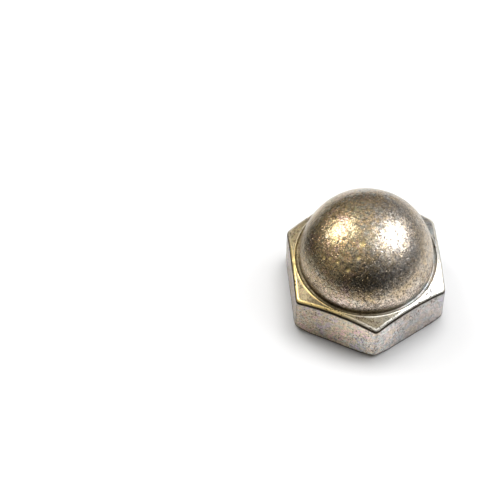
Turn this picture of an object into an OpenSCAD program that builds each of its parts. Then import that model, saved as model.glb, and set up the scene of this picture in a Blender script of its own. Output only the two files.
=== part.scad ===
/* [Hexagon] */
// Width across the flats
across_flats = 17; // [16.2:0.1:22]
// Height of the hexagon at the middle of a flat, from the bearing face
hex_h = 5.9; // [4:0.1:12]
// Radius that rounds each upright corner
corner_r = 0.75; // [0.1:0.05:1.5]

/* [Chamfers] */
// Slope of the top chamfer, from the horizontal
top_slope = 26; // [10:1:45]
// Diameter of the round bearing face underneath
bearing_d = 18.1; // [15:0.1:19]
// Slope of the chamfer round the bearing face, from the horizontal
bearing_slope = 30; // [10:1:45]

/* [Dome] */
// Diameter of the dome and of its short straight neck
dome_d = 15.25; // [13:0.05:16]
// Height of the straight neck above the lip of the groove
neck_h = 0.25; // [0.1:0.05:4]

/* [Groove] */
// Width of the groove between the neck and the top chamfer
groove_w = 0.4; // [0.2:0.05:0.45]
// Depth of the groove, from its lip
groove_depth = 0.3; // [0.1:0.05:1]

/* [Tapped hole] */
// Diameter of the hole as drilled for the thread
bore_d = 8.5; // [6:0.1:9]
// Depth of the full bore, from the bearing face
bore_depth = 9.5; // [5:0.1:10]
// Angle of the drill's point
drill_angle = 118; // [90:1:140]
// Diameter of the countersink at the bearing face
sink_d = 10.8; // [9.2:0.1:14]
// Angle of the countersink
sink_angle = 120; // [90:1:140]

/* [Hidden] */
$fn = 96;
plated_steel = [0.60, 0.56, 0.50];
// How far a cutting tool runs past the face that it opens
run_out = 1;

flats_r = across_flats / 2;
corner_tip_r = flats_r / cos(30);
// How far a corner's rounding stands out of the flats, so that it crosses them instead of grazing them
rounding_proud = 0.01;
corner_centre_r = (flats_r - corner_r + rounding_proud) / cos(30);
corner_reach = corner_centre_r + corner_r;
bearing_r = bearing_d / 2;
dome_r = dome_d / 2;
lip_r = dome_r + groove_w;
lip_z = hex_h + (flats_r - lip_r) * tan(top_slope);
groove_z = lip_z - groove_depth;
dome_z = lip_z + neck_h;
total_h = dome_z + dome_r;
bore_r = bore_d / 2;
drill_point_h = bore_r / tan(drill_angle / 2);
sink_h = (sink_d / 2 - bore_r) / tan(sink_angle / 2);

// What a corner loses to its rounding: a kite between the normals of the two flats, less the round
module corner_waste() {
    reach = corner_r + run_out;
    translate([corner_centre_r, 0])
        difference() {
            polygon([
                [0, 0],
                [reach * cos(30), reach * sin(30)],
                [reach / cos(30), 0],
                [reach * cos(30), -reach * sin(30)]
            ]);
            circle(r = corner_r);
        }
}

// Hexagon with round corners, one of them on the +X axis
module hex_outline() {
    difference() {
        circle(r = corner_tip_r, $fn = 6);
        for (turn = [0 : 60 : 300])
            rotate(turn) corner_waste();
    }
}

// Half section of the turned body: both chamfers, and the groove down from its lip
module body_section() {
    past = corner_reach + run_out;
    polygon([
        [0, 0],
        [bearing_r, 0],
        [past, (past - bearing_r) * tan(bearing_slope)],
        [past, hex_h - (past - flats_r) * tan(top_slope)],
        [lip_r, lip_z],
        [lip_r, groove_z],
        [0, groove_z]
    ]);
}

// Half section of the dome: a quarter disc on the straight neck
module dome_section() {
    translate([0, dome_z])
        intersection() {
            circle(r = dome_r);
            square(dome_r + run_out);
        }
    square([dome_r, dome_z]);
}

// Drilled blind hole with its countersink and the cone of the drill's point
module tapped_hole() {
    rotate_extrude()
        polygon([
            [0, -run_out],
            [sink_d / 2 + run_out * tan(sink_angle / 2), -run_out],
            [bore_r, sink_h],
            [bore_r, bore_depth],
            [0, bore_depth + drill_point_h]
        ]);
}

// The whole nut, resting on its bearing face
module cap_nut() {
    color(plated_steel)
        difference() {
            intersection() {
                rotate_extrude() {
                    body_section();
                    dome_section();
                }
                translate([0, 0, -run_out])
                    linear_extrude(total_h + 2 * run_out) hex_outline();
            }
            tapped_hole();
        }
}

cap_nut();
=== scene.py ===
import math

import bpy
from mathutils import Matrix, Vector


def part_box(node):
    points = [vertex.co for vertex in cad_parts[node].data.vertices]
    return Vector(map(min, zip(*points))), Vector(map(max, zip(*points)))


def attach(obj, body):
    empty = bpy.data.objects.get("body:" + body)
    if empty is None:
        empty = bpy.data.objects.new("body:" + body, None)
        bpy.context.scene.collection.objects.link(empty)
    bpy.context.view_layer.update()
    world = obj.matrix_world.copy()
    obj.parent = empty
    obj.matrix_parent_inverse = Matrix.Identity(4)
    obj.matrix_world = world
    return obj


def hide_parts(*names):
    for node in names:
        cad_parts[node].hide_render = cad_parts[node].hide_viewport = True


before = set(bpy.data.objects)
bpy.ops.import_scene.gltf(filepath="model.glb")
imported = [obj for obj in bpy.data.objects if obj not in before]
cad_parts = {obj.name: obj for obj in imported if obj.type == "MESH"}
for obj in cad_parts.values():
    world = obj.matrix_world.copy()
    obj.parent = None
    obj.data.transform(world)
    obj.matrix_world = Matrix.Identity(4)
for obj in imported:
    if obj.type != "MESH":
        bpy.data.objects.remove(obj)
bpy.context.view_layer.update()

MM = 0.001
WHITE = (1.0, 1.0, 1.0)

# Sizes of the nut: height and width come from the solid, the rest are those of its drawing
_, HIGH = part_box("cap_nut")
TOTAL_HEIGHT = HIGH.z
FLATS_RADIUS = HIGH.y
CORNER_ROUND = 0.75 * MM
DOME_RADIUS = 7.625 * MM
NECK_HEIGHT = 0.25 * MM
GROOVE_WIDTH = 0.4 * MM
GROOVE_DEPTH = 0.3 * MM
TOP_SLOPE = math.tan(math.radians(26))
LIP_RADIUS = DOME_RADIUS + GROOVE_WIDTH
LIP_HEIGHT = TOTAL_HEIGHT - DOME_RADIUS - NECK_HEIGHT
HEX_HEIGHT = LIP_HEIGHT - (FLATS_RADIUS - LIP_RADIUS) * TOP_SLOPE
BEARING_RADIUS = 9.05 * MM
BEARING_SLOPE = math.tan(math.radians(30))
BORE_RADIUS = 4.25 * MM
BORE_DEPTH = 9.5 * MM
DRILL_POINT = BORE_RADIUS / math.tan(math.radians(118 / 2))
SINK_RADIUS = 5.4 * MM
SINK_SLOPE = math.tan(math.radians(120 / 2))

# Forms that only the scene has: the roundings of the edges, and the turns of the thread
EDGE_ROUND = 0.13 * MM
BROW_ROUND = 0.32 * MM
LIP_ROUND = 0.12 * MM
GROOVE_BOWL = 0.12 * MM
SLOPE_SOFTNESS = 0.02 * MM
THREAD_RADIUS = 5.0 * MM
THREAD_PITCH = 1.5 * MM
PITCHES_BELOW_FACE = 1.5
THREAD_END = 8.6 * MM
THREAD_LEAD = 2.2 * MM
THREAD_ROOT_HALF = 0.065
THREAD_CREST_FROM = 0.35
THREAD_SOFTNESS = 0.05 * MM
HOLE_SOFTNESS = 0.03 * MM

# The mesh: columns round the axis, crowded at the six corners, and rows along the section
SIXTH = math.pi / 3
HALF_SIXTH = SIXTH / 2
COLUMNS = 480
BORE_COLUMNS = 160
CORNER_COLUMNS = 0.12
CORNER_ANGLE = math.radians(2.4)
THREAD_TURNS = 9
ROWS_PER_PITCH = 16
MOUTH_ROWS = 5
POINT_ROWS = 12
FACE_ROWS = 10
BEARING_ROWS = 8
EDGE_ROWS = 6
FLAT_ROWS = 26
BROW_ROWS = 12
CONE_ROWS = 12
WALL_ROWS = 2
BOWL_ROWS = 12
NECK_ROWS = 4
DOME_ROWS = 66
WELD = 0.001 * MM

# The photograph's camera: how it stands round the nut, and where the nut lies in its view
CAMERA_ELEVATION = math.radians(55.25)
CAMERA_TURN = math.radians(37.33)
CAMERA_ROLL = math.radians(1.82)
NUT_TO_RIGHT = 13.03 * MM
NUT_BELOW = 4.24 * MM
NUT_AWAY = 344.7 * MM
FRAME_PIXELS = 500
FOCAL_PIXELS = 3000
SENSOR_WIDTH = 36.0
NEAREST_SEEN = 10 * MM

# The plating: its tints, where its marks lie, and the painted light and shade on some of its sides. A side
# is a direction as the camera sees it
FILM_STOPS = [
    (0.12, (0.59, 0.45, 0.47)),
    (0.33, (0.58, 0.52, 0.38)),
    (0.50, (0.56, 0.49, 0.45)),
    (0.66, (0.47, 0.50, 0.43)),
    (0.86, (0.54, 0.46, 0.56)),
]
DOME_STOPS = [
    (0.15, (0.56, 0.43, 0.35)),
    (0.35, (0.58, 0.44, 0.25)),
    (0.55, (0.50, 0.42, 0.33)),
    (0.80, (0.43, 0.45, 0.42)),
]
# Gold of the dome's left side, partly the plating's tint and partly painted warm light
GOLD_AND_WARM_LIGHT = (0.55, 0.42, 0.22)
DENT_GLINT_GOLD = (1.0, 0.82, 0.42)
WARM_LIT_SIDE = (-0.75, -0.2, 0.6)
# Painted reflection of the paper on the dome's foot: pale in front, bronze at the sides
FOOT_PALE_REFLECTION = (0.67, 0.57, 0.50)
FOOT_REFLECTION_SIDE = (0.3, -1.0, 0.0)
FOOT_BRONZE_REFLECTION = (0.67, 0.55, 0.43)
FOOT_RISE = 2.2 * MM
# Gold of the chamfer at the left, partly the plating's tint and partly painted warm light
CONE_GOLD_AND_WARM_LIGHT = (0.58, 0.48, 0.28)
GREY_SIDE = (1.0, -0.2, 0.1)
# Painted light on the flats: warm shade towards the left corner, cool light on the right
WARM_SHADED_SIDE = (-0.8, -0.6, 0.0)
PAINTED_WARM_SHADE = (0.85, 0.80, 0.71)
PAINTED_COOL_LIGHT = (1.03, 1.02, 1.10)
CONE_WARM_LIT_SIDE = (-0.8, -0.5, 0.2)
# Side of the chamfer that gets painted shade, facing the front
CONE_SHADE_SIDE = (-0.13, -1.0, -0.1)
FRONT_SHEEN_SIDE = (0.0, -1.0, -0.25)
LOW_FRONT = (0.0, -0.82, -0.57)
# Bright colours of the edges, partly wear and partly painted highlight: pale on the creases, golden on the
# lip at the left
WORN_AND_HIGHLIGHT_BRIGHT = (1.0, 0.93, 0.78)
WORN_AND_HIGHLIGHT_GOLD = (0.96, 0.77, 0.36)
# Dark colour of dirt and of painted shade in creases, in the groove and along the bottom edge
GRIME_AND_SHADE = (0.03, 0.022, 0.014)
BARE_STEEL = (0.30, 0.27, 0.23)
PIT_BROWN = (0.10, 0.06, 0.035)
DOME_FADE = 0.8 * MM
TURNED_REACH = 1.2 * MM
UNDERNEATH = 0.2 * MM
ABOVE_FACE = 0.5 * MM
DOME_ROUGHNESS = 0.22
HEX_ROUGHNESS = 0.38
WORN_AND_HIGHLIGHT_ROUGHNESS = 0.3
GRIME_AND_SHADE_ROUGHNESS = 0.6
DENT_ROUGHNESS = 0.15
GROOVE_GRIME_AND_SHADE = 0.2
DULL_FROM = 0.4 * MM
DULL_TO = 1.2 * MM

# How coarse each of its marks is
PATCH_SIZE = 1.6 * MM
BLOT_SIZE = 0.55 * MM
FILM_STREAK_SIZE = 0.16 * MM
GRAIN_SIZE = 0.14 * MM
FLECK_SIZE = 0.30 * MM
TINT_SIZE = 0.20 * MM
PIT_PATCH_SIZE = 1.9 * MM
PIT_SIZE = 0.2 * MM
SCRATCH_SIZE = 0.10 * MM
CRATER_SPACING = 0.42 * MM
ROUGH_SIZE = 0.09 * MM
BLOOM_SIZE = 0.24 * MM
STREAK_SIZE = 0.13 * MM
RING_SIZE = 0.16 * MM
RELIEF_HEIGHT = 0.020 * MM

# The forming marks: shallow waves, small peened facets and a few dents, all pressed into the skin
WAVE_GRAIN = 2.2 * MM
WAVE_DEPTH = 0.08 * MM
FACET_GRAIN = 0.5 * MM
FACET_DEPTH = 0.05 * MM
MARK_LEVEL = 0.35
DENT_DEPTH = 0.09 * MM

# The dents: the side of the dome that each is on, as the camera sees it, and how far it reaches
DENTS = [
    ((-0.10, -0.43, 0.90), 0.50 * MM),
    ((-0.15, -0.59, 0.79), 0.35 * MM),
    ((-0.30, -0.71, 0.64), 0.40 * MM),
    ((-0.64, -0.48, 0.60), 0.32 * MM),
    ((-0.55, -0.52, 0.65), 0.28 * MM),
    ((-0.45, -0.60, 0.67), 0.35 * MM),
]

# The studio, placed as the camera sees it: white paper, a room with a bright ceiling, and soft lamps
FLOOR_SIZE = 1.6
PAPER_WHITE = (0.94, 0.94, 0.94)
PAPER_LIFT = 0.02
SHEET_CENTRE = (12 * MM, 12 * MM, 0.0)
SHEET_RADIUS = 40 * MM
SHEET_FADE = 7 * MM
# A painted shadow on the paper left of the nut, which only the plating sees
REFLECTED_SHADOW_CENTRE = (-27 * MM, 10 * MM, 0.0)
REFLECTED_SHADOW_RADIUS = 12 * MM
BENCH_DARK = (0.03, 0.03, 0.03)
HORIZON_GLOW = 0.27
CEILING_GLOW = 0.80
CEILING_FALLOFF = 1.5
GLOW_ON_PAPER = 0.25
CAMERA_SIDE = (0.1, -1.0, 0.1)
SHADE_FROM = 0.38
SHADE = 0.93
WARM_LIGHT = (1.08, 0.98, 0.80)
COOL_LIGHT = (0.95, 1.00, 1.12)
LAMP_DISTANCE = 0.6


class Term:
    """What runs along a link between nodes. Arithmetic on it adds the nodes that do the sum."""

    def __init__(self, graph, socket):
        self.graph = graph
        self.socket = socket

    def output(self, name):
        return Term(self.graph, self.socket.node.outputs[name])

    def __add__(self, other):
        return self.graph.arithmetic("ADD", self, other)

    def __radd__(self, other):
        return self.graph.arithmetic("ADD", other, self)

    def __sub__(self, other):
        return self.graph.arithmetic("SUBTRACT", self, other)

    def __rsub__(self, other):
        return self.graph.arithmetic("SUBTRACT", other, self)

    def __mul__(self, other):
        return self.graph.arithmetic("MULTIPLY", self, other)

    def __rmul__(self, other):
        return self.graph.arithmetic("MULTIPLY", other, self)

    def __truediv__(self, other):
        return self.graph.arithmetic("DIVIDE", self, other)

    def __rtruediv__(self, other):
        return self.graph.arithmetic("DIVIDE", other, self)

    def __pow__(self, other):
        return self.graph.maths("POWER", self, other)

    def __lt__(self, other):
        return self.graph.maths("LESS_THAN", self, other)

    def __gt__(self, other):
        return self.graph.maths("GREATER_THAN", self, other)


class Graph:
    """A node tree and the one method that adds a node to it."""

    def __init__(self, tree):
        self.tree = tree

    def node(self, kind, settings=None, sockets=None, out=0):
        """Adds a node, sets its settings and then its sockets, and returns one of its outputs."""
        node = self.tree.nodes.new(kind)
        for name, value in (settings or {}).items():
            if name == "stops":
                self.set_stops(node.color_ramp, value)
            else:
                setattr(node, name, value)
        for name, value in (sockets or {}).items():
            for one in value if isinstance(value, list) else [value]:
                if isinstance(one, Term):
                    self.tree.links.new(one.socket, node.inputs[name])
                else:
                    node.inputs[name].default_value = one
        return Term(self, node.outputs[out]) if len(node.outputs) else node

    def set_stops(self, ramp, stops):
        while len(ramp.elements) < len(stops):
            ramp.elements.new(1.0)
        for element, (place, colour) in zip(ramp.elements, stops):
            element.position = place
            element.color = (*colour, 1.0)

    def maths(self, operation, *values):
        return self.node("ShaderNodeMath", {"operation": operation}, dict(enumerate(values)))

    def vector_maths(self, operation, *values, out=0):
        return self.node("ShaderNodeVectorMath", {"operation": operation}, dict(enumerate(values)), out)

    def arithmetic(self, operation, left, right):
        pair = (left, right)
        has_vector = any(
            one.socket.type in ("VECTOR", "RGBA") if isinstance(one, Term) else isinstance(one, tuple)
            for one in pair
        )
        if has_vector:
            pair = tuple((one, one, one) if isinstance(one, (int, float)) else one for one in pair)
            return self.vector_maths(operation, *pair)
        return self.maths(operation, *pair)


def smaller(a, b):
    return a.graph.maths("MINIMUM", a, b)


def larger(a, b):
    return a.graph.maths("MAXIMUM", a, b)


def root(a):
    return a.graph.maths("SQRT", a)


def sine(a):
    return a.graph.maths("SINE", a)


def cosine(a):
    return a.graph.maths("COSINE", a)


def magnitude(a):
    return a.graph.maths("ABSOLUTE", a)


def whole_part(a):
    return a.graph.maths("FLOOR", a)


def fraction(a):
    return a.graph.maths("FRACT", a)


def limited(a):
    """The term held between 0 and 1."""
    return smaller(larger(a, 0.0), 1.0)


def blend(amount, a, b):
    """a where the amount is 0, b where it is 1."""
    return a + (b - a) * amount


def soft_larger(a, b, softness):
    """The larger of two terms, with the corner between them rounded."""
    gap = a - b
    return (a + b + root(gap * gap + softness * softness)) * 0.5


def soft_smaller(a, b, softness):
    """The smaller of two terms, with the corner between them rounded."""
    gap = a - b
    return (a + b - root(gap * gap + softness * softness)) * 0.5


def bend(t, start, corner, end):
    """A rounded corner that runs from start to end and is drawn towards the corner."""
    back = 1.0 - t
    return start * back * back + corner * t * back * 2.0 + end * t * t


def noise(graph, place, grain, detail=2.0, roughness=0.5, seed=0.0, out=0):
    """A soft random field between 0 and 1 with grains of one size; the seed picks another field."""
    return graph.node(
        "ShaderNodeTexNoise",
        {"noise_dimensions": "4D"},
        {"Vector": place, "W": seed, "Scale": 1.0 / grain, "Detail": detail, "Roughness": roughness},
        out,
    )


# Geometry: the skin of the nut and its tapped hole as bands of rings round the axis


def new_form(name, sizes):
    """An empty geometry tree with one input for each size and one for the material."""
    tree = bpy.data.node_groups.new(name, "GeometryNodeTree")
    tree.interface.new_socket("Geometry", in_out="OUTPUT", socket_type="NodeSocketGeometry")
    for size in sizes:
        tree.interface.new_socket(size, in_out="INPUT", socket_type="NodeSocketFloat")
    tree.interface.new_socket("Material", in_out="INPUT", socket_type="NodeSocketMaterial")
    graph = Graph(tree)
    entry = graph.node("NodeGroupInput")
    return graph, {name: entry.output(name) for name in (*sizes, "Material")}


def finish_form(graph, geometry, material):
    """Ends a geometry tree in real, smooth-shaded meshes with their material."""
    smooth = graph.node("GeometryNodeSetShadeSmooth", sockets={"Geometry": geometry})
    real = graph.node("GeometryNodeRealizeInstances", sockets={"Geometry": smooth})
    painted = graph.node("GeometryNodeSetMaterial", sockets={"Geometry": real, "Material": material})
    graph.node("NodeGroupOutput", sockets={"Geometry": painted})


def piece_from_form(graph, name, sizes, material):
    """Runs a geometry tree and keeps what comes out as a plain mesh object."""
    piece = bpy.data.objects.new(name, bpy.data.meshes.new(name))
    bpy.context.scene.collection.objects.link(piece)
    modifier = piece.modifiers.new("form", "NODES")
    modifier.node_group = graph.tree
    for socket in graph.tree.interface.items_tree:
        if socket.in_out == "INPUT":
            modifier[socket.identifier] = material if socket.name == "Material" else sizes[socket.name]
    evaluated = piece.evaluated_get(bpy.context.evaluated_depsgraph_get())
    mesh = bpy.data.meshes.new_from_object(evaluated)
    piece.modifiers.clear()
    piece.data = mesh
    mesh.name = name
    return piece


def join(graph, parts):
    return graph.node("GeometryNodeJoinGeometry", sockets={"Geometry": parts})


def weld(graph, geometry):
    return graph.node("GeometryNodeMergeByDistance", sockets={"Geometry": geometry, "Distance": WELD})


def grid_place(graph, turns=1):
    """Where a point lies in its flat grid: turns round the axis, and 0 to 1 along the section."""
    flat = graph.node("GeometryNodeInputPosition")
    apart = graph.node("ShaderNodeSeparateXYZ", sockets={"Vector": flat})
    return apart + turns / 2, apart.output("Y") + 0.5


def column_angle(turn):
    """The angle of a column, and its angle from the nearest corner of the hexagon."""
    sector = turn * 6.0
    place = fraction(sector)
    near = 0.5 - magnitude(place - 0.5)
    corner_rate = CORNER_ANGLE / CORNER_COLUMNS
    flat_rate = (HALF_SIXTH - CORNER_ANGLE) / (0.5 - CORNER_COLUMNS)
    on_flat = larger(near - CORNER_COLUMNS, 0.0)
    from_corner = smaller(near, CORNER_COLUMNS) * corner_rate + on_flat * flat_rate
    within = blend(place > 0.5, from_corner, SIXTH - from_corner)
    return whole_part(sector) * SIXTH + within, from_corner


def coarse_turn(turn):
    """The nearest column of the tapped hole, which has fewer columns than the skin."""
    return whole_part(turn * float(BORE_COLUMNS) + 0.5) / float(BORE_COLUMNS)


def hexagon_reach(from_corner, size):
    """How far the round-cornered hexagon reaches from the axis."""
    flats = size["Flats radius"]
    rounding = size["Corner round"]
    flat = flats / cosine(HALF_SIXTH - from_corner)
    centre = (flats - rounding) / math.cos(HALF_SIXTH)
    offset = centre * sine(from_corner)
    rounded = centre * cosine(from_corner) + root(larger(rounding * rounding - offset * offset, 0.0))
    round_ends = HALF_SIXTH - flats.graph.maths("ARCTANGENT", centre * 0.5 / flats)
    return blend(from_corner < round_ends, flat, rounded)


def top_height(radius, size):
    """Height of the top chamfer, which rises from the corners to the lip of the groove."""
    return size["Hexagon height"] - (radius - size["Flats radius"]) * TOP_SLOPE


def bottom_height(radius, size):
    """Height of the bearing face, and of the chamfer that rises from it."""
    return soft_larger((radius - size["Bearing radius"]) * BEARING_SLOPE, 0.0, SLOPE_SOFTNESS)


def mark(graph, geometry, name, value):
    """Keeps a value at each point of a geometry, for the material to read."""
    return graph.node(
        "GeometryNodeStoreNamedAttribute",
        {"data_type": "FLOAT", "domain": "POINT"},
        {"Geometry": geometry, "Name": name, "Value": value},
    )


def ring_band(graph, rows, columns, angle, radius, height, turns=1, marks=None):
    """A grid bent round the axis at a radius and a height, with marks such as its wear and painted
    highlight, and its dirt and painted shade.
    """
    grid = graph.node(
        "GeometryNodeMeshGrid",
        sockets={
            "Size X": float(turns),
            "Size Y": 1.0,
            "Vertices X": columns * turns + 1,
            "Vertices Y": rows + 1,
        },
    )
    for name, value in (marks or {}).items():
        grid = mark(graph, grid, name, value)
    place = graph.node(
        "ShaderNodeCombineXYZ",
        sockets={"X": radius * cosine(angle), "Y": radius * sine(angle), "Z": height},
    )
    return graph.node("GeometryNodeSetPosition", sockets={"Geometry": grid, "Position": place})


def step(t, start, end):
    """0 up to the start, 1 from the end on, and a straight rise between them."""
    return limited((t - start) / (end - start))


def skin_bands(graph, size):
    """The outside, from the rim of the countersink over the flats to the top of the dome."""
    turn, t = grid_place(graph)
    angle, from_corner = column_angle(turn)
    coarse, _ = column_angle(coarse_turn(turn))
    reach = hexagon_reach(from_corner, size)
    rounding = size["Edge round"]
    rim = size["Countersink radius"] + rounding
    inside = reach - rounding
    corner_line = limited(1.0 - from_corner / (CORNER_ANGLE * 0.6))
    bands = []

    def band(rows, radius, height, worn=0.0, grime=0.0, flat=0.0, around=angle):
        marks = {"worn": worn, "grime": grime, "flat": flat}
        bands.append(ring_band(graph, rows, COLUMNS, around, radius, height, marks=marks))

    first = rim + rounding * 2.0
    band(1, blend(t, rim, first), t * 0.0, around=blend(t, coarse, angle))
    face_end = smaller(size["Bearing radius"] - rounding, reach - rounding * 2.0)
    face = blend(t, first, face_end)
    band(FACE_ROWS, face, bottom_height(face, size))
    chamfer = blend(t, face_end, inside)
    band(BEARING_ROWS, chamfer, bottom_height(chamfer, size))

    foot = bottom_height(reach, size)
    brow = top_height(reach, size)
    # The bottom edge: a dark line of dirt and painted shade where it meets the paper
    low_edge = bend(t, bottom_height(inside, size), foot, foot + rounding)
    band(EDGE_ROWS, bend(t, inside, reach, reach), low_edge, grime=limited(t * 2.0))
    brow_rounding = size["Brow round"]
    brow_inside = reach - brow_rounding
    side = blend(t, foot + rounding, brow - brow_rounding)
    # Dark lines of dirt and painted shade along the ends of the flats and down their corners
    side_dirt_and_shade = limited(1.0 - step(t, 0.0, 0.04) + step(t, 0.965, 0.985) * 0.9 + corner_line * 0.35)
    band(FLAT_ROWS, reach + t * 0.0, side, grime=side_dirt_and_shade, flat=1.0)
    high_edge = bend(t, brow - brow_rounding, brow, top_height(brow_inside, size))
    brow_edge = bend(t, reach, reach, brow_inside)
    # The crease: wear and a painted highlight on the chamfer's side, dirt and painted shade on the flat's
    # side
    rub_and_painted_sheen = step(t + corner_line * 0.1, 0.45, 0.65)
    band(BROW_ROWS, brow_edge, high_edge, worn=rub_and_painted_sheen, grime=1.0 - step(t, 0.35, 0.50))

    lip = size["Dome radius"] + size["Groove width"]
    lip_round = size["Lip round"]
    chamfer = blend(t, brow_inside, lip + lip_round)
    # Both ends of the chamfer: wear and a painted highlight
    rub_and_painted_sheen = 1.0 - step(t, 0.0, 0.1) + step(t, 0.9, 1.0)
    band(CONE_ROWS, chamfer, top_height(chamfer, size), worn=rub_and_painted_sheen)
    lip_height = top_height(lip, size)
    lip_start = top_height(lip + lip_round, size)
    wall_top = lip_height - lip_round
    lip_bend = bend(t, lip_start, lip_height, wall_top)
    # The lip: wear and a painted highlight on its rounding
    rub_and_painted_sheen = 1.0 - step(t, 0.5, 0.8)
    # The lip, the groove and the neck: dirt and painted shade in the hollow
    lip_dirt_and_shade = step(t, 0.7, 1.0) * GROOVE_GRIME_AND_SHADE
    band(EDGE_ROWS, bend(t, lip + lip_round, lip, lip), lip_bend, worn=rub_and_painted_sheen, grime=lip_dirt_and_shade)
    half_width = size["Groove width"] * 0.5
    bowl_height = lip_height - size["Groove depth"] + size["Groove bowl"]
    band(WALL_ROWS, lip + t * 0.0, blend(t, wall_top, bowl_height), grime=GROOVE_GRIME_AND_SHADE)
    half_turn = t * math.pi
    bowl = size["Dome radius"] + half_width * (1.0 + cosine(half_turn))
    band(BOWL_ROWS, bowl, bowl_height - size["Groove bowl"] * sine(half_turn), grime=GROOVE_GRIME_AND_SHADE)
    centre = lip_height + size["Neck height"]
    neck_dirt_and_shade = GROOVE_GRIME_AND_SHADE - t * GROOVE_GRIME_AND_SHADE
    band(NECK_ROWS, size["Dome radius"] + t * 0.0, blend(t, bowl_height, centre), grime=neck_dirt_and_shade)
    quarter = t * (math.pi / 2)
    dome = size["Dome radius"]
    band(DOME_ROWS, dome * cosine(quarter), centre + dome * sine(quarter))
    return bands


def thread_depth(wave, size):
    """Depth of the thread's groove for a place along one pitch, with its flat root and flat crest."""
    full = size["Thread radius"] - size["Bore radius"]
    from_root = magnitude(fraction(wave + 0.5) - 0.5)
    flank = (THREAD_CREST_FROM - from_root) * full / (THREAD_CREST_FROM - THREAD_ROOT_HALF)
    return soft_larger(soft_smaller(flank, full, THREAD_SOFTNESS), 0.0, THREAD_SOFTNESS)


def hole_radius(height, turned, size):
    """Radius of the hole's wall: the countersink, then the thread, which runs out near the drill point."""
    groove = thread_depth(height / size["Pitch"] - turned, size)
    lead = larger(THREAD_END - height, 0.0) * (size["Thread radius"] - size["Bore radius"]) / THREAD_LEAD
    sink = size["Countersink radius"] - height * SINK_SLOPE
    wall = size["Bore radius"] + soft_smaller(groove, lead, HOLE_SOFTNESS)
    return soft_larger(wall, sink, HOLE_SOFTNESS)


def bore_bands(graph, size):
    """The countersink's rim, the turns of the thread and the cone of the drill's point."""
    rounding = size["Edge round"]
    rim = size["Countersink radius"]
    depth = size["Bore depth"]
    mouth = rounding / SINK_SLOPE

    turn, t = grid_place(graph)
    angle, _ = column_angle(turn)
    turned = angle / (2 * math.pi)
    edge = bend(t, rim + rounding, rim, hole_radius(mouth + t * 0.0, turned, size))
    worn = {"worn": t * (1.0 - t) * 4.0}
    lip = ring_band(graph, MOUTH_ROWS, BORE_COLUMNS, angle, edge, mouth * t * t, marks=worn)
    point = hole_radius(depth + t * 0.0, turned, size) * (1.0 - t)
    rise = depth + DRILL_POINT * t
    cone = ring_band(graph, POINT_ROWS, BORE_COLUMNS, angle, point, rise, marks={"hole": 1.0})

    turn, t = grid_place(graph, THREAD_TURNS)
    angle, _ = column_angle(turn)
    turned = angle / (2 * math.pi)
    height = smaller(larger((turned + t - PITCHES_BELOW_FACE) * size["Pitch"], mouth), depth)
    wall = hole_radius(height, turned, size)
    dull = {"hole": step(height, DULL_FROM, DULL_TO)}
    thread = ring_band(
        graph, ROWS_PER_PITCH, BORE_COLUMNS, angle, wall, height, turns=THREAD_TURNS, marks=dull
    )
    return [lip, thread, cone]


def dent(graph, side, reach):
    """A round dent in the dome: 1 in its middle, 0 outside. Its side is given as the camera sees it."""
    place = graph.node("GeometryNodeInputPosition")
    dome_centre = Vector((0.0, 0.0, TOTAL_HEIGHT - DOME_RADIUS))
    middle = from_camera_side(*side).normalized() * DOME_RADIUS + dome_centre
    away = graph.vector_maths("DISTANCE", place, tuple(middle), out="Value")
    inside = limited(1.0 - away * away / (reach * reach))
    return inside * inside


def dents(graph):
    """The dents that the photograph shows, on the crown and on the left of the dome."""
    all_dents = dent(graph, *DENTS[0])
    for side_and_reach in DENTS[1:]:
        all_dents = all_dents + dent(graph, *side_and_reach)
    return all_dents


def forming_marks(graph):
    """How deep the waves and facets press the skin in at each place."""
    place = graph.node("GeometryNodeInputPosition")
    waves = larger(noise(graph, place, WAVE_GRAIN, 1.0, seed=11.0) - MARK_LEVEL, 0.0) * WAVE_DEPTH
    facets = larger(noise(graph, place, FACET_GRAIN, 1.0, seed=12.0) - MARK_LEVEL, 0.0) * FACET_DEPTH
    return waves + facets


def press_in(graph, skin, depth):
    """Moves the skin inwards by a depth that changes from place to place."""
    normal = graph.node("GeometryNodeInputNormal")
    inwards = graph.vector_maths("SCALE", normal)
    graph.tree.links.new((0.0 - depth).socket, inwards.socket.node.inputs["Scale"])
    return graph.node("GeometryNodeSetPosition", sockets={"Geometry": skin, "Offset": inwards})


def nut_form(sizes):
    """The whole nut as one closed skin."""
    graph, size = new_form("cap_nut_form", sizes)
    outside = weld(graph, join(graph, skin_bands(graph, size)))
    bore = graph.node("GeometryNodeFlipFaces", sockets={"Mesh": join(graph, bore_bands(graph, size))})
    closed = weld(graph, join(graph, [outside, bore]))
    marked = mark(graph, closed, "dented", dents(graph))
    pressed = press_in(graph, marked, forming_marks(graph) + dents(graph) * DENT_DEPTH)
    finish_form(graph, pressed, size["Material"])
    return graph


# Finish: yellow-passivated zinc plating, mottled and pitted, its edges worn and painted bright, with
# painted light and shade in places


def smooth(value, start, end):
    """A soft step of a term from 0 at the start to 1 at the end."""
    sockets = {"Value": value, "From Min": start, "From Max": end}
    return value.graph.node("ShaderNodeMapRange", {"interpolation_type": "SMOOTHSTEP"}, sockets)


def tint(amount, a, b):
    """Colour a where the amount is 0, colour b where it is 1."""
    colours = [c if isinstance(c, Term) else (*c, 1.0) for c in (a, b)]
    settings = {"data_type": "RGBA", "clamp_factor": True}
    return amount.graph.node("ShaderNodeMix", settings, {0: amount, 6: colours[0], 7: colours[1]}, out=2)


def ramp(value, stops):
    """A colour picked by a term from a row of stops."""
    return value.graph.node("ShaderNodeValToRGB", {"stops": stops}, {"Fac": value})


def attribute(graph, name):
    return graph.node("ShaderNodeAttribute", {"attribute_name": name}, out="Fac")


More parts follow.
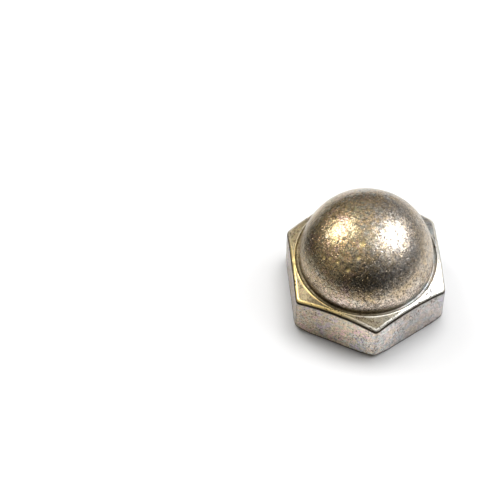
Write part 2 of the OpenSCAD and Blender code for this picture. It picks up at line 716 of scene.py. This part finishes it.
class Surface:
    """What the nut's material knows about a point: its place, height, distance from the axis and marks."""

    def __init__(self, graph):
        self.graph = graph
        self.place = graph.node("ShaderNodeTexCoord", out="Object")
        apart = graph.node("ShaderNodeSeparateXYZ", sockets={"Vector": self.place})
        self.height = apart.output("Z")
        self.radius = root(apart * apart + apart.output("Y") * apart.output("Y"))
        self.worn = attribute(graph, "worn")
        self.grime = attribute(graph, "grime")
        self.flat = attribute(graph, "flat")
        self.dented = attribute(graph, "dented")
        self.hole = attribute(graph, "hole")
        self.on_dome = smooth(self.height, LIP_HEIGHT, LIP_HEIGHT + DOME_FADE) * (1.0 - self.hole)
        self.underneath = 1.0 - smooth(self.height, UNDERNEATH, ABOVE_FACE)
        self.on_cone = (1.0 - self.flat) * (1.0 - self.on_dome)
        self.greyer = smooth(self.side(GREY_SIDE), -0.2, 0.5)
        around = self.place * (1.0, 1.0, 0.0) * (TURNED_REACH / self.radius)
        self.turned_place = around + self.place * (0.0, 0.0, 1.0)

    def side(self, direction):
        """How far a point lies to a side of the nut, from -1 to 1, seen from the middle of the lip."""
        from_middle = self.place - (0.0, 0.0, LIP_HEIGHT)
        return facing(self.graph, self.graph.vector_maths("NORMALIZE", from_middle), direction)

    def noise(self, grain, detail=2.0, roughness=0.5, seed=0.0, out=0):
        return noise(self.graph, self.place, grain, detail, roughness, seed, out)

    def rings(self, grain):
        """Tool marks that run round the axis, as a random field of the distance from it and the height."""
        across = self.graph.node("ShaderNodeCombineXYZ", sockets={"X": self.radius, "Y": self.height})
        return noise(self.graph, across, grain, 1.0, seed=15.0)

    def turned(self, grain, seed):
        """Fine streaks that run round the axis."""
        across = self.radius * (1.0 - self.flat) / grain + seed
        return noise(self.graph, self.turned_place, grain, 2.0, 0.6, across)


def plating_colour(nut):
    """Grey zinc with a speckled rainbow film, browner on the dome and golden on its left side, that gold
    partly painted warm light; with painted light, shade and reflections on the foot of the dome, the flats
    and the chamfers.
    """
    patches = nut.noise(PATCH_SIZE, 3.0, 0.65, seed=1.0)
    blots = nut.noise(BLOT_SIZE, 2.0, 0.6, seed=2.0)
    streaks = nut.turned(FILM_STREAK_SIZE, seed=3.0)
    film = smooth(patches * 0.45 + blots * 0.35 + streaks * 0.2, 0.38, 0.62)
    film = blend(nut.greyer * (0.5 + nut.on_dome * 0.3), film, 0.55)
    # Gold on the dome's left side: partly the plating's tint, partly painted warm light from the left
    golden_and_warm_lit = smooth(nut.side(WARM_LIT_SIDE) + (patches - 0.5) * 3.0, 0.3, 1.3)
    dome = tint(golden_and_warm_lit * 0.7, ramp(film, DOME_STOPS), GOLD_AND_WARM_LIGHT)
    # Painted reflection of the paper on the foot of the dome: pale in front, bronze at the sides
    neck_top = LIP_HEIGHT + NECK_HEIGHT
    at_foot = 1.0 - smooth(nut.height, neck_top, neck_top + FOOT_RISE)
    to_front = smooth(nut.side(FOOT_REFLECTION_SIDE) + (patches - 0.5) * 0.6, -0.3, 0.3)
    dome = tint(at_foot * 0.8, dome, tint(to_front, FOOT_BRONZE_REFLECTION, FOOT_PALE_REFLECTION))
    # Gold on the chamfer at the left: partly the plating's tint, partly painted warm light
    cone_golden_and_warm_lit = smooth(nut.side(CONE_WARM_LIT_SIDE) + (patches - 0.5), -0.2, 0.6)
    # Painted shade on the chamfer that faces the front
    painted_cone_shade = smooth(nut.side(CONE_SHADE_SIDE) + (patches - 0.5) * 0.3, 0.70, 0.90) * nut.on_cone
    # Flats near the front corner painted lighter: a painted reflection of the lit paper
    rub_and_painted_sheen = smooth(nut.side(FRONT_SHEEN_SIDE), 0.80, 0.97) * nut.flat
    hexagon = tint(cone_golden_and_warm_lit * nut.on_cone * 0.8, ramp(film, FILM_STOPS), CONE_GOLD_AND_WARM_LIGHT)
    # Painted light on the flats: warmer and darker towards the left corner, cooler and lighter on the
    # right
    painted_warm_shade = smooth(nut.side(WARM_SHADED_SIDE), 0.45, 0.85) * nut.flat
    light = tint(painted_warm_shade, tint(nut.greyer * nut.flat, WHITE, PAINTED_COOL_LIGHT), PAINTED_WARM_SHADE)
    # Painted shade on the chamfer where the lamps shine on it: at the left corner and on the right
    painted_shade_under_lamp = (smooth(nut.side(WARM_SHADED_SIDE), 0.70, 0.95) + nut.greyer * 0.15) * nut.on_cone
    hexagon = hexagon * light * (1.0 - painted_cone_shade * 0.4) * (1.0 - painted_shade_under_lamp * 0.5) * (1.0 + rub_and_painted_sheen * 0.40)
    return tint(nut.on_dome, hexagon, dome)


def speckled(nut, colour):
    """The colour with small bright and dark grains, each with its own faint tint, coarser low in front."""
    grains = smooth(nut.noise(GRAIN_SIZE, 1.0, seed=4.0), 0.30, 0.63)
    flecks = smooth(nut.noise(FLECK_SIZE, 2.0, 0.6, seed=13.0), 0.30, 0.70)
    tints = nut.noise(TINT_SIZE, 1.5, seed=5.0, out=1)
    on_hexagon = 0.52 + grains * 0.53 + flecks * 0.30
    on_dome = 0.34 + grains * 0.74 + flecks * 0.40
    light = blend(nut.on_dome, on_hexagon, on_dome)
    coarser = smooth(nut.side(LOW_FRONT), -0.1, 0.4) * nut.on_dome
    light = light + (grains - 0.5) * coarser * 0.55
    strength = 0.32 * (1.0 - nut.greyer * 0.75)
    return colour * light * (1.0 + (tints - 0.5) * strength)


def pits(nut):
    """Small dark pits, gathered in patches, and fine scratches along the flats."""
    where = smooth(nut.noise(PIT_PATCH_SIZE, 2.0, seed=6.0), 0.42, 0.62)
    fine = nut.noise(PIT_SIZE, 1.0, seed=7.0)
    scratches = smooth(nut.turned(SCRATCH_SIZE, seed=14.0), 0.66, 0.72) * nut.flat * 0.7
    spots = smooth(fine + where * 0.12 - nut.on_dome * 0.05, 0.67, 0.74)
    return larger(spots, scratches) * (1.0 - nut.hole)


def craters(nut):
    """Small round hollows in some cells of a random net: 1 in the middle of each."""
    cell = nut.graph.node(
        "ShaderNodeTexVoronoi",
        sockets={"Vector": nut.place, "Scale": 1.0 / CRATER_SPACING},
    )
    has_one = cell.output("Color") > 0.5
    return (1.0 - smooth(cell, 0.0, 0.38)) * has_one


def plated_steel():
    """The plating of the whole nut, as one metal whose colour, gloss and grain change over it."""
    material = bpy.data.materials.new("plated_steel")
    material.use_nodes = True
    material.node_tree.nodes.clear()
    graph = Graph(material.node_tree)
    nut = Surface(graph)

    pitted = pits(nut)
    rough = nut.noise(ROUGH_SIZE, 2.0, 0.6, seed=8.0)
    bloom = nut.noise(BLOOM_SIZE, 2.0, 0.6, seed=9.0)
    streaks = nut.turned(STREAK_SIZE, seed=10.0)
    # Dirt and painted shade in the creases, the groove and along the edges
    dirt_and_shade = limited(nut.grime * (0.6 + bloom * 0.9))
    # Wear and painted highlight along the edges, brighter and glossier
    wear_and_highlight = limited(nut.worn * (0.4 + rough * 1.2))

    colour = speckled(nut, plating_colour(nut))
    golden_wear_and_highlight = smooth(nut.side(CONE_WARM_LIT_SIDE), 0.5, 0.85)
    colour = tint(wear_and_highlight, colour, tint(golden_wear_and_highlight, WORN_AND_HIGHLIGHT_BRIGHT, WORN_AND_HIGHLIGHT_GOLD))
    # Painted golden glints in the dents
    painted_glint = limited(nut.dented * rough * 3.0)
    colour = tint(painted_glint, colour, DENT_GLINT_GOLD)
    colour = tint(nut.hole * 0.75, colour, BARE_STEEL)
    colour = tint(dirt_and_shade, colour, GRIME_AND_SHADE)
    colour = tint(pitted * 0.85, colour, PIT_BROWN)

    roughness = blend(nut.on_dome, HEX_ROUGHNESS, DOME_ROUGHNESS)
    roughness = roughness + (bloom - 0.5) * 0.25 + nut.greyer * nut.on_dome * 0.05
    roughness = blend(dirt_and_shade, roughness, GRIME_AND_SHADE_ROUGHNESS)
    roughness = blend(wear_and_highlight, roughness, WORN_AND_HIGHLIGHT_ROUGHNESS)
    roughness = blend(painted_glint, roughness, DENT_ROUGHNESS)

    turned_rings = nut.rings(RING_SIZE) * larger(nut.underneath, nut.hole)
    relief = rough * 0.6 + bloom * 0.8 + streaks * 0.5 + turned_rings * 3.5 - pitted * 1.2
    relief = relief - craters(nut) * blend(nut.on_dome, 0.5, 1.5)
    bump = graph.node(
        "ShaderNodeBump",
        sockets={"Strength": 1.0, "Distance": RELIEF_HEIGHT, "Height": relief},
    )
    surface = graph.node(
        "ShaderNodeBsdfPrincipled",
        sockets={"Base Color": colour, "Metallic": 1.0, "Roughness": roughness, "Normal": bump},
    )
    graph.node("ShaderNodeOutputMaterial", sockets={"Surface": surface})
    return material


def build_nut():
    sizes = {
        "Flats radius": FLATS_RADIUS,
        "Corner round": CORNER_ROUND,
        "Hexagon height": HEX_HEIGHT,
        "Bearing radius": BEARING_RADIUS,
        "Edge round": EDGE_ROUND,
        "Brow round": BROW_ROUND,
        "Dome radius": DOME_RADIUS,
        "Neck height": NECK_HEIGHT,
        "Groove width": GROOVE_WIDTH,
        "Groove depth": GROOVE_DEPTH,
        "Groove bowl": GROOVE_BOWL,
        "Lip round": LIP_ROUND,
        "Countersink radius": SINK_RADIUS,
        "Bore radius": BORE_RADIUS,
        "Bore depth": BORE_DEPTH,
        "Thread radius": THREAD_RADIUS,
        "Pitch": THREAD_PITCH,
    }
    nut = piece_from_form(nut_form(sizes), "cap_nut_skin", sizes, plated_steel())
    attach(nut, "root")
    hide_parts("cap_nut")
    return nut


def aim_camera():
    """Puts the camera where the photograph was taken from."""
    lens = bpy.data.cameras.new("camera")
    lens.sensor_width = SENSOR_WIDTH
    lens.lens = FOCAL_PIXELS / FRAME_PIXELS * SENSOR_WIDTH
    lens.clip_start = NEAREST_SEEN
    camera = bpy.data.objects.new("camera", lens)
    bpy.context.scene.collection.objects.link(camera)
    around = Matrix.Rotation(-CAMERA_TURN, 4, "Z")
    tilted = Matrix.Rotation(math.pi / 2 - CAMERA_ELEVATION, 4, "X")
    rolled = Matrix.Rotation(CAMERA_ROLL, 4, "Z")
    back = Matrix.Translation((-NUT_TO_RIGHT, NUT_BELOW, NUT_AWAY))
    camera.matrix_world = around @ tilted @ rolled @ back
    bpy.context.scene.camera = camera


def from_camera_side(right, away, up):
    """A direction given as the camera sees it, turned into the nut's frame."""
    return Matrix.Rotation(-CAMERA_TURN, 3, "Z") @ Vector((right, away, up))


def has_left_paper(graph):
    """1 for light that would reach the paper by way of the plating, and would wash out the shadow."""
    return graph.node("ShaderNodeLightPath").output("Diffuse Depth") > 0.5


def soft_lamp(name, direction, width, watts, colour=WHITE, in_plating=True):
    """A round lamp that faces the nut. It is either seen in the plating or lights the paper."""
    light = bpy.data.lights.new(name, "AREA")
    light.shape = "DISK"
    light.size = width
    light.energy = watts
    light.color = colour
    light.use_nodes = True
    light.node_tree.nodes.clear()
    graph = Graph(light.node_tree)
    strength = 1.0 - has_left_paper(graph) if in_plating else 1.0
    glow = graph.node("ShaderNodeEmission", sockets={"Color": (*WHITE, 1.0), "Strength": strength})
    graph.node("ShaderNodeOutputLight", sockets={"Surface": glow})
    lamp = bpy.data.objects.new(name, light)
    place = from_camera_side(*direction).normalized() * LAMP_DISTANCE
    lamp.location = place
    lamp.rotation_euler = place.to_track_quat("Z", "Y").to_euler()
    lamp.visible_glossy = in_plating
    lamp.visible_diffuse = not in_plating
    bpy.context.scene.collection.objects.link(lamp)


def facing(graph, direction, side):
    """How far a direction points to a side that is given as the camera sees it, from -1 to 1."""
    towards = tuple(from_camera_side(*side).normalized())
    return graph.vector_maths("DOT_PRODUCT", direction, towards, out="Value")


def lay_floor():
    """White paper that keeps the nut's shadow. In the plating it looks like a sheet on a dark bench, with
    a painted shadow beside the nut on its left.
    """
    bpy.ops.mesh.primitive_plane_add(size=FLOOR_SIZE)
    floor = bpy.context.object
    floor.name = "floor"
    material = bpy.data.materials.new("white_paper")
    material.use_nodes = True
    material.node_tree.nodes.clear()
    graph = Graph(material.node_tree)
    paper = graph.node("ShaderNodeBsdfDiffuse", sockets={"Color": (*PAPER_WHITE, 1.0)})
    glow = graph.node("ShaderNodeEmission", sockets={"Color": (*WHITE, 1.0), "Strength": 1.0})
    bench = graph.node("ShaderNodeBsdfDiffuse", sockets={"Color": (*BENCH_DARK, 1.0)})
    path = graph.node("ShaderNodeLightPath")
    seen = path.output("Is Camera Ray")
    mirrored = path.output("Is Glossy Ray")
    lift = (seen + mirrored) * PAPER_LIFT
    lifted = graph.node("ShaderNodeMixShader", sockets={0: lift, 1: paper, 2: glow})
    place = graph.node("ShaderNodeTexCoord", out="Object")
    sheet = tuple(from_camera_side(*SHEET_CENTRE))
    # The painted shadow left of the nut, seen only in the plating
    gap = tuple(from_camera_side(*REFLECTED_SHADOW_CENTRE))
    from_middle = graph.vector_maths("DISTANCE", place, sheet, out="Value")
    from_reflected_shadow = graph.vector_maths("DISTANCE", place, gap, out="Value")
    beyond = smooth(from_middle, SHEET_RADIUS - SHEET_FADE, SHEET_RADIUS + SHEET_FADE)
    in_reflected_shadow = 1.0 - smooth(from_reflected_shadow, REFLECTED_SHADOW_RADIUS - SHEET_FADE, REFLECTED_SHADOW_RADIUS + SHEET_FADE)
    bench_and_reflected_shadow = larger(beyond, in_reflected_shadow)
    surface = graph.node("ShaderNodeMixShader", sockets={0: mirrored * bench_and_reflected_shadow, 1: lifted, 2: bench})
    graph.node("ShaderNodeOutputMaterial", sockets={"Surface": surface})
    floor.data.materials.append(material)


def light_world():
    """A room with a bright ceiling, dark on the camera's side, warm on the left and cool on the right."""
    world = bpy.data.worlds.new("studio")
    bpy.context.scene.world = world
    world.use_nodes = True
    world.node_tree.nodes.clear()
    graph = Graph(world.node_tree)
    towards = graph.node("ShaderNodeTexCoord", out="Generated")
    height = limited(facing(graph, towards, (0.0, 0.0, 1.0)))
    shade = smooth(facing(graph, towards, CAMERA_SIDE), SHADE_FROM, 1.0) * SHADE
    strength = blend(height ** CEILING_FALLOFF, HORIZON_GLOW, CEILING_GLOW) * (1.0 - shade)
    across = facing(graph, towards, (1.0, 0.0, 0.0)) * 0.5 + 0.5
    light = tint(smooth(across, 0.1, 0.9), WARM_LIGHT, COOL_LIGHT)
    path = graph.node("ShaderNodeLightPath")
    mirrored = path.output("Is Glossy Ray") * (1.0 - has_left_paper(graph))
    strength = strength * blend(mirrored, GLOW_ON_PAPER, 1.0)
    room = graph.node("ShaderNodeBackground", sockets={"Color": light, "Strength": strength})
    backdrop = graph.node("ShaderNodeBackground", sockets={"Color": (*WHITE, 1.0), "Strength": 1.0})
    seen = path.output("Is Camera Ray")
    both = graph.node("ShaderNodeMixShader", sockets={0: seen, 1: room, 2: backdrop})
    graph.node("ShaderNodeOutputWorld", sockets={"Surface": both})


bpy.context.scene.view_settings.view_transform = "Standard"
aim_camera()
build_nut()
lay_floor()
light_world()
soft_lamp("left_lamp", (-0.67, 0.27, 0.69), width=0.15, watts=1.35, colour=(1.0, 0.97, 0.91))
soft_lamp("right_lamp", (0.68, 0.14, 0.72), width=0.38, watts=3.0, colour=(0.94, 0.99, 1.10))
soft_lamp("overhead_on_paper", (0.10, 0.30, 0.95), width=0.42, watts=2.65, in_plating=False)
soft_lamp("left_on_paper", (-0.58, 0.42, 0.70), width=0.40, watts=1.4, in_plating=False)
soft_lamp("right_on_paper", (0.70, 0.12, 0.70), width=0.44, watts=1.3, in_plating=False)
